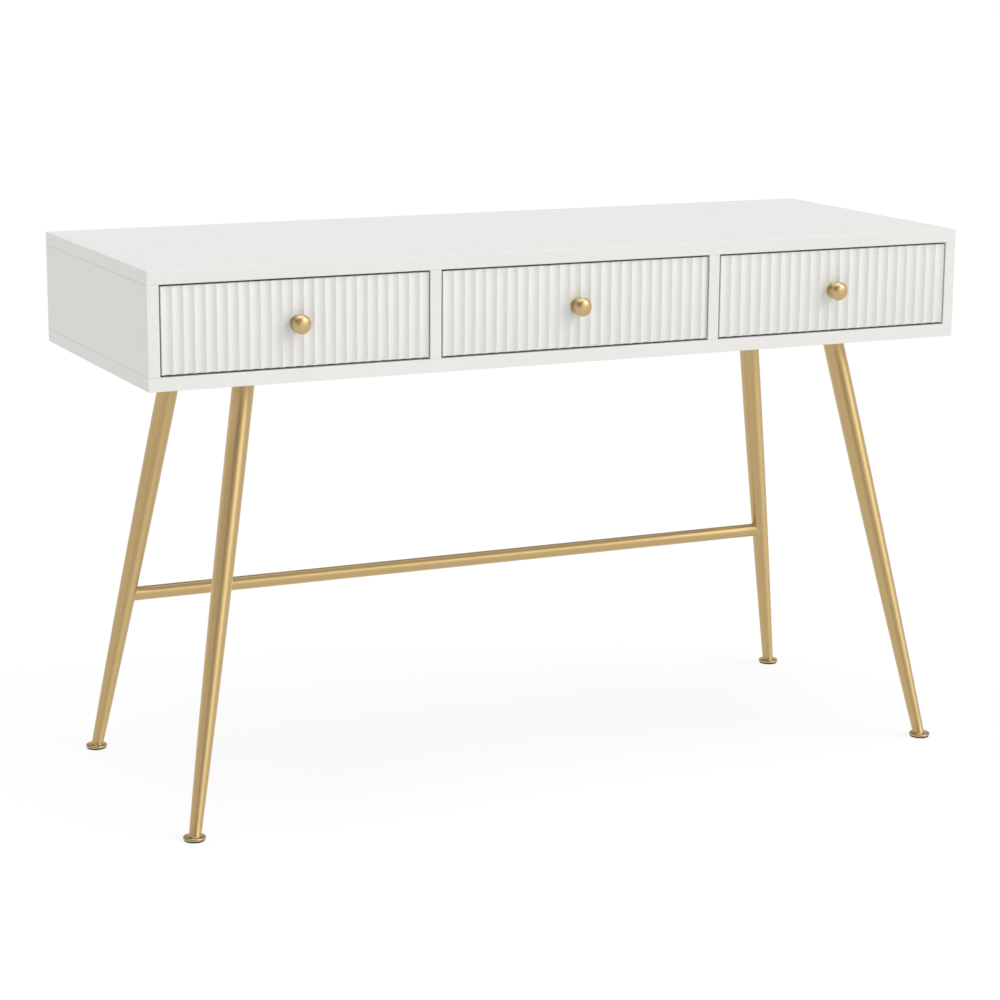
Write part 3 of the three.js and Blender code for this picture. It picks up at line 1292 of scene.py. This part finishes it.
@dataclass(frozen=True)
class KnobShape:
    """The outline of a turned knob.

    Args:
        flange_mm: the radius of the flange on the drawer front.
        foot_mm: the small radius of the flange's back edge.
        lip_mm: the radius of its front edge.
        thick_mm: the flange's thickness.
        neck_mm: the radius of the neck at its thinnest.
        waist_mm: how far from the seat the neck is thinnest.
        under_mm: the depth of the head behind its rim.
        dome_mm: the depth of the head in front of its rim.
    """

    flange_mm: float = 10.5
    foot_mm: float = 0.4
    lip_mm: float = 1.0
    thick_mm: float = 3.0
    neck_mm: float = 5.2
    waist_mm: float = 7.8
    under_mm: float = 3.0
    dome_mm: float = 7.3

    def profile(self, head: float, reach: float) -> list[Point]:
        """The knob's outline from its seat to its crown.

        Args:
            head: the radius of the head.
            reach: how far the knob stands out.

        Returns:
            Radius and height of each point.
        """
        flange, foot = self.flange_mm * MM, self.foot_mm * MM
        lip, thick = self.lip_mm * MM, self.thick_mm * MM
        neck, waist = self.neck_mm * MM, self.waist_mm * MM
        under, dome = self.under_mm * MM, self.dome_mm * MM
        rim = reach - dome
        hollow = flange - lip - neck
        flare = rim - under - waist
        return [
            (0.0, 0.0),
            *arc((flange - foot, foot), (foot, foot), -90, 0, steps=3),
            *arc((flange - lip, thick - lip), (lip, lip), 0, 90, steps=5),
            *arc((flange - lip, waist), (hollow, waist - thick), 270, 180, steps=10)[1:],
            *arc((neck + flare, waist), (flare, flare), 180, 90, steps=6)[1:],
            *arc((neck + flare, rim), (head - neck - flare, under), -90, 0, steps=8)[1:],
            *arc((0.0, rim), (head, dome), 0, 90, steps=16)[1:-1],
            (0.0, reach),
        ]


@dataclass
class Drawer(SubAssembly):
    """One drawer: the fluted front, its knob and the box behind it.

    Args:
        bay: which drawer it is.
        knob: the knob's outline.
        flute_mm: the depth of the flutes.
        ridge_mm: the radius left on the ridges between them by the lacquer.
        flute_steps: how many faces go across a flute.
        edge_mm: the radius of the front's edges.
        edge_steps: how many faces go across them.
        seat_mm: the radius of the flat spot under the knob.
        bore_mm: the radius of the hole for the knob's screw.
        box_ease_mm: the radius of the box's edges.
        groove_mm: how deep the floor sits in the sides.
        sheet_mm: the thickness of the rails' steel.
        fold_mm: the radius of the rails' folds.
        rail_screw_shares: the rail screws' places, as shares of a rail's length.
        knob_sides: how many faces go round the knob.
        seat_sides: how many go round its flat spot and its screw's hole.
    """

    bay: Bay
    knob: KnobShape = KnobShape()
    flute_mm: float = 2.6
    ridge_mm: float = 0.5
    flute_steps: int = 12
    edge_mm: float = 0.6
    edge_steps: int = 3
    seat_mm: float = 10.8
    bore_mm: float = 2.6
    box_ease_mm: float = 0.7
    groove_mm: float = 6.0
    sheet_mm: float = 1.2
    fold_mm: float = 0.5
    rail_screw_shares: tuple[float, ...] = (0.08, 0.4, 0.8)
    knob_sides: int = 72
    seat_sides: int = 48

    def node(self, part: str) -> str:
        """The CAD node of one part of this drawer."""
        return f"drawer_{self.bay.tag}_{part}"

    def name(self, part: str) -> str:
        """The name of a piece of this drawer."""
        return f"{part}_{self.bay.tag}"

    def build(self) -> None:
        """Builds the front, the knob, the box and the rails."""
        self.build_front()
        self.build_knob()
        self.build_box()
        for side in Side:
            self.build_rail(side)

    def flute_line(self, left: float, right: float, front: float) -> list[Point]:
        """The front's face seen from above: a row of hollow flutes with rounded ridges.

        Args:
            left: where the face starts.
            right: where it ends.
            front: the Y of the ridges' tips.

        Returns:
            Points from left to right.
        """
        pitch = (right - left) / self.bay.flutes
        depth, ridge = self.flute_mm * MM, self.ridge_mm * MM
        slope = math.atan(4 * depth / pitch)
        half = ridge * math.sin(slope)
        tip = front + ridge / math.cos(slope)
        turns = (-slope / 2, 0.0, slope / 2)  # the points round the tip of a ridge
        points: list[Point] = []
        for flute in range(math.ceil(self.bay.flutes)):
            start = left + flute * pitch
            if flute:
                points += [(start + ridge * math.sin(t), tip - ridge * math.cos(t)) for t in turns]
            last = min(pitch - half, right - start)
            for step in range(self.flute_steps + 1):
                x = half + (last - half) * step / self.flute_steps
                points.append((start + x, front + depth * (1 - (2 * x / pitch - 1) ** 2)))
        return points

    def build_front(self) -> None:
        """The fluted front, with a flat spot and a hole for the knob."""
        low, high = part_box(self.node("front"))
        edge = self.edge_mm * MM
        face = self.flute_line(low.x + edge, high.x - edge, low.y)
        # Each row of the skin is the same outline, drawn in where the top and bottom edges are rounded.
        turns = [math.radians(90 * i / self.edge_steps) for i in range(self.edge_steps + 1)]
        lower = [(low.z + edge * (1 - math.sin(t)), edge * (1 - math.cos(t))) for t in reversed(turns)]
        upper = [(low.z + high.z - z, drawn) for z, drawn in reversed(lower)]
        rings = []
        for z, drawn in lower + upper:
            sides = [
                (high.x - drawn, low.y + edge + drawn),
                (high.x - drawn, high.y - drawn),
                (low.x + drawn, high.y - drawn),
                (low.x + drawn, low.y + edge + drawn),
            ]
            row = [(x, y + drawn) for x, y in face] + sides
            rings.append([Vector((x, y, z)) for x, y in row])
        shape = Shape.skin(rings).carved(*self.knob_cutters(low, high))
        self.add(self.name("fluted_front"), shape, LACQUER, [self.node("front")])

    def knob_cutters(self, low: Vector, high: Vector) -> list[Shape]:
        """The tools that cut the flat spot for the knob and the hole for its screw.

        Args:
            low: the front's lowest corner.
            high: its highest corner.

        Returns:
            Two closed shapes.
        """
        place = self.knob_place()
        reach = high.y - low.y
        sunk = place.translation.y - low.y
        pairs = ((self.seat_mm * MM, 0.0), (self.bore_mm * MM, -2 * reach))
        profiles = [[(0.0, start), (r, start), (r, 2 * sunk), (0.0, 2 * sunk)] for r, start in pairs]
        return [Shape.turned(profile, self.seat_sides).placed(place) for profile in profiles]

    def knob_place(self) -> Matrix:
        """The knob's own axes: Z points forward from the middle of its seat.

        Returns:
            A placing matrix without scale.
        """
        low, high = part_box(self.node("knob"))
        centre = (low + high) / 2
        seat = Vector((centre.x, high.y, centre.z))
        return axes_at(seat, Vector((0, -1, 0)), Vector((1, 0, 0)))

    def build_knob(self) -> None:
        """The knob, turned with a flange, a hollow neck and a domed head, and its screw behind."""
        low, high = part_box(self.node("knob"))
        head, reach = (high.x - low.x) / 2, high.y - low.y
        knob = Shape.turned(self.knob.profile(head, reach), self.knob_sides)
        self.add(self.name("turned_knob"), knob, BRASS, [self.node("knob")], self.knob_place())
        screw = BOARD_SCREW.heads([Matrix()])
        back = self.knob_place().translation
        back.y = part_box(self.node("front"))[1].y
        place = axes_at(back, Vector((0, 1, 0)), Vector((0, 0, 1)))
        self.add(self.name("knob_screw_head"), screw, ZINC, [self.node("knob_screw")], place)

    def build_box(self) -> None:
        """The sides with their groove, the back and the floor."""
        floor_low, floor_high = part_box(self.node("floor"))
        for side in Side:
            node = self.node(f"side_{side.tag}")
            low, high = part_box(node)
            outer, inner = (low.x, high.x) if side is Side.LEFT else (high.x, low.x)
            sunk = inner + side.sign * (self.groove_mm * MM)
            outline = [
                (outer, low.z),
                (inner, low.z),
                (inner, floor_low.z),
                (sunk, floor_low.z),
                (sunk, floor_high.z),
                (inner, floor_high.z),
                (inner, high.z),
                (outer, high.z),
            ]
            shape = Shape.prism(outline, Axis.Y, low.y, high.y).ease(self.box_ease_mm / 2)
            self.add(self.name(f"box_side_{side.tag}"), shape, FOIL, [node])
        for part in ("back", "floor"):
            low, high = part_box(self.node(part))
            shape = Shape.board(low, high, self.box_ease_mm / 2)
            self.add(self.name(f"box_{part}"), shape, FOIL, [self.node(part)])

    def build_rail(self, side: Side) -> None:
        """One rail on the side of the box, with its screws.

        Args:
            side: the side of the box.
        """
        node = self.node(f"rail_{side.tag}")
        low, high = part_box(node)
        web, lips = (high.x, low.x) if side is Side.LEFT else (low.x, high.x)
        rail = folded_sheet(web, lips, low, high, self.sheet_mm, self.sheet_mm)
        rail.ease(self.fold_mm, segments=2)
        self.add(self.name(f"slide_rail_{side.tag}"), rail, ZINC, [node])
        outward = Vector((side.sign, 0, 0))
        seat = web + outward.x * self.sheet_mm * MM
        screws = screw_row(low, high, seat, outward, self.rail_screw_shares)
        self.add(self.name(f"rail_screws_{side.tag}"), screws, ZINC)


# ---------------------------------------------------------------- studio
@dataclass(frozen=True)
class LitAcrylic(Finish):
    """The studio's floor: opal acrylic sheet over lamps, like a light table.

    It gives the eye a plain white ground on which the table's shadow is nearly washed out.
    """

    name: str = "Opal acrylic lit from below"
    slot: Slot | None = None
    light: str = "#7A7A7A"
    dark: str = "#787878"
    cloud_mm: float = 900.0
    glow: float = 0.80

    def draw(self, tree: bpy.types.NodeTree) -> bpy.types.Node:
        """Draws a very faint cloud in flat grey, and the white light that comes through it.

        Args:
            tree: the material's empty node tree.

        Returns:
            The shader.
        """
        cloud_inputs = {"Vector": own_place(tree), "Scale": per_metre(self.cloud_mm)}
        cloud = add_node(tree, "ShaderNodeTexNoise", cloud_inputs).outputs["Fac"]
        sheet = {
            "Base Color": between(tree, cloud, self.dark, self.light),
            "Roughness": 1.0,
            "Specular IOR Level": 0.0,
            "Emission Color": linear("#FFFFFF"),
            "Emission Strength": self.glow,
        }
        return add_node(tree, "ShaderNodeBsdfPrincipled", sheet)


def direction_of(azimuth: float, elevation: float) -> Vector:
    """The direction from the table towards a place round it.

    Args:
        azimuth: degrees to the right of the front, seen from above.
        elevation: degrees above the floor.

    Returns:
        A vector one metre long.
    """
    turn, rise = math.radians(azimuth), math.radians(elevation)
    return Vector((math.sin(turn) * math.cos(rise), -math.cos(turn) * math.cos(rise), math.sin(rise)))


@dataclass(frozen=True)
class SoftLight:
    """A distant soft box.

    Args:
        name: the light's name.
        azimuth: degrees to the right of the front, seen from above.
        elevation: degrees above the floor.
        width: how many degrees it spans, which sets how soft it is.
        strength: its brightness.
        tint: its colour.
        distance: where it is drawn, in metres. Its light is the same from any distance.
    """

    name: str
    azimuth: float
    elevation: float
    width: float
    strength: float
    tint: str = "#FFFFFF"
    distance: float = 5.0

    def build(self) -> None:
        """Adds the light, aimed at the table."""
        data = bpy.data.lights.new(self.name, "SUN")
        data.angle, data.energy = math.radians(self.width), self.strength
        data.color = linear(self.tint)[:3]
        lamp = bpy.data.objects.new(self.name, data)
        towards = direction_of(self.azimuth, self.elevation)
        lamp.rotation_euler = towards.to_track_quat("Z", "Y").to_euler()
        lamp.location = towards * self.distance
        bpy.context.scene.collection.objects.link(lamp)


@dataclass(frozen=True)
class Studio:
    """The floor, the lights and the camera.

    Args:
        floor_reach: half the width of the floor.
        floor_drop_mm: how far the floor lies below the pads, so that the two never share a face.
        walls: the tint of the lit white walls round the table.
        ceiling: the tint of the unlit ceiling.
        doorway: the tint of the open side of the studio, where the camera stands.
        wall_top: the heights between which the walls turn into the ceiling, as sines of the elevation.
        doorway_azimuth: where the middle of the doorway lies, in degrees to the right of the front.
        doorway_edge: the cosines of its half widths, outside and inside the soft edge.
        sensor_mm: the width of the camera's sensor.
        lens_mm: its focal length.
        nearest: the distance at which the camera starts to see.
        stand: where the camera stands.
        yaw: degrees that it looks to the right of straight back.
        pitch: degrees that it looks down.
        roll: degrees that it leans.
        lights: the soft boxes.
    """

    floor_reach: float = 80.0
    floor_drop_mm: float = 0.1
    walls: str = "#FFFCF7"
    ceiling: str = "#858079"
    doorway: str = "#5C5038"
    wall_top: Point = (0.25, 0.50)
    doorway_azimuth: float = -26.0
    doorway_edge: Point = (0.92, 0.99)
    sensor_mm: float = 36.0
    lens_mm: float = 97.5
    nearest: float = 0.05
    stand: tuple[float, float, float] = (-1.622, -3.4104, 1.1832)
    yaw: float = 25.21
    pitch: float = 12.35
    roll: float = 0.39
    lights: tuple[SoftLight, ...] = (
        SoftLight("soft_box_key", 46.0, 35.0, 40.0, 1.20),
        SoftLight("soft_box_strip", 26.0, 14.0, 28.0, 0.22),
        SoftLight("soft_box_overhead", 0.0, 88.0, 60.0, 2.14, "#ECF4FF"),
    )

    def build(self) -> None:
        """Builds the floor, the lights and the camera."""
        self.build_floor()
        self.build_room()
        for light in self.lights:
            light.build()
        self.build_camera()

    def build_floor(self) -> None:
        """A level sheet of acrylic, a hair below the pads."""
        bm = bmesh.new()
        bmesh.ops.create_grid(bm, x_segments=8, y_segments=8, size=self.floor_reach)
        mesh = bpy.data.meshes.new("studio_floor")
        bm.to_mesh(mesh)
        bm.free()
        floor = bpy.data.objects.new("studio_floor", mesh)
        floor.location.z = -self.floor_drop_mm * MM
        bpy.context.scene.collection.objects.link(floor)
        mesh.materials.append(LitAcrylic().material())

    def build_room(self) -> None:
        """Light from lit white walls, a dim ceiling and a dimmer doorway."""
        world = bpy.data.worlds.new("white_room")
        world.use_nodes = True
        tree = world.node_tree
        tree.nodes.clear()
        direction = add_node(tree, "ShaderNodeTexCoord").outputs["Generated"]
        height = add_node(tree, "ShaderNodeSeparateXYZ", {0: direction}).outputs["Z"]
        above = self.soft_step(tree, height, self.wall_top)
        inside = self.soft_step(tree, self.facing_doorway(tree, direction), self.doorway_edge)
        wall = between(tree, inside, self.walls, self.doorway)
        inputs = {0: above, 6: wall, 7: linear(self.ceiling)}
        tint = add_node(tree, "ShaderNodeMix", inputs, data_type="RGBA").outputs[2]
        light = add_node(tree, "ShaderNodeBackground", {"Color": tint, "Strength": 1.0})
        add_node(tree, "ShaderNodeOutputWorld", {"Surface": light.outputs[0]})
        bpy.context.scene.world = world
        bpy.context.scene.view_settings.view_transform = "Standard"

    @staticmethod
    def soft_step(
        tree: bpy.types.NodeTree, value: bpy.types.NodeSocket, edge: Point
    ) -> bpy.types.NodeSocket:
        """Turns a value into a smooth step.

        Args:
            tree: the room's node tree.
            value: the value.
            edge: where the step starts and ends.

        Returns:
            A value that goes from 0 to 1 across the edge.
        """
        inputs = {"Value": value, "From Min": edge[0], "From Max": edge[1]}
        step = add_node(tree, "ShaderNodeMapRange", inputs, interpolation_type="SMOOTHSTEP")
        return step.outputs["Result"]

    def facing_doorway(
        self, tree: bpy.types.NodeTree, direction: bpy.types.NodeSocket
    ) -> bpy.types.NodeSocket:
        """How nearly a direction points at the doorway, whatever its height.

        Args:
            tree: the room's node tree.
            direction: the direction from the table.

        Returns:
            The cosine of the angle between the two, seen from above.
        """
        flat = add_node(tree, "ShaderNodeVectorMath", {0: direction, 1: (1, 1, 0)}, operation="MULTIPLY")
        level = add_node(tree, "ShaderNodeVectorMath", {0: flat.outputs[0]}, operation="NORMALIZE")
        way = {0: level.outputs[0], 1: tuple(direction_of(self.doorway_azimuth, 0.0))}
        return add_node(tree, "ShaderNodeVectorMath", way, operation="DOT_PRODUCT").outputs["Value"]

    def build_camera(self) -> None:
        """A long lens at chest height, in front of the table and to its left."""
        yaw, roll = math.radians(self.yaw), math.radians(self.roll)
        forward = -direction_of(-self.yaw, self.pitch)
        level = Vector((math.cos(yaw), -math.sin(yaw), 0))
        upright = level.cross(forward)
        right = math.cos(roll) * level + math.sin(roll) * upright
        up = math.cos(roll) * upright - math.sin(roll) * level
        data = bpy.data.cameras.new("studio_camera")
        data.lens, data.sensor_width = self.lens_mm, self.sensor_mm
        data.clip_start, data.clip_end = self.nearest, 2 * self.floor_reach
        camera = bpy.data.objects.new("studio_camera", data)
        turn = Matrix((right, up, -forward)).transposed().to_4x4()
        camera.matrix_world = Matrix.Translation(self.stand) @ turn
        bpy.context.scene.collection.objects.link(camera)
        bpy.context.scene.camera = camera


# ---------------------------------------------------------------- main
def main() -> None:
    """Builds the table and its studio."""
    logging.basicConfig(level=logging.INFO, format="%(name)s: %(message)s")
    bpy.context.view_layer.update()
    legs = LegSet("table")
    assemblies: list[SubAssembly] = [Carcass("table"), Runners("table"), legs, Stretcher("table", legs)]
    assemblies += [Drawer(f"drawer_{bay.tag}", bay) for bay in Bay]
    for assembly in assemblies:
        assembly.build()
    Studio().build()


if __name__ == "__main__":
    main()
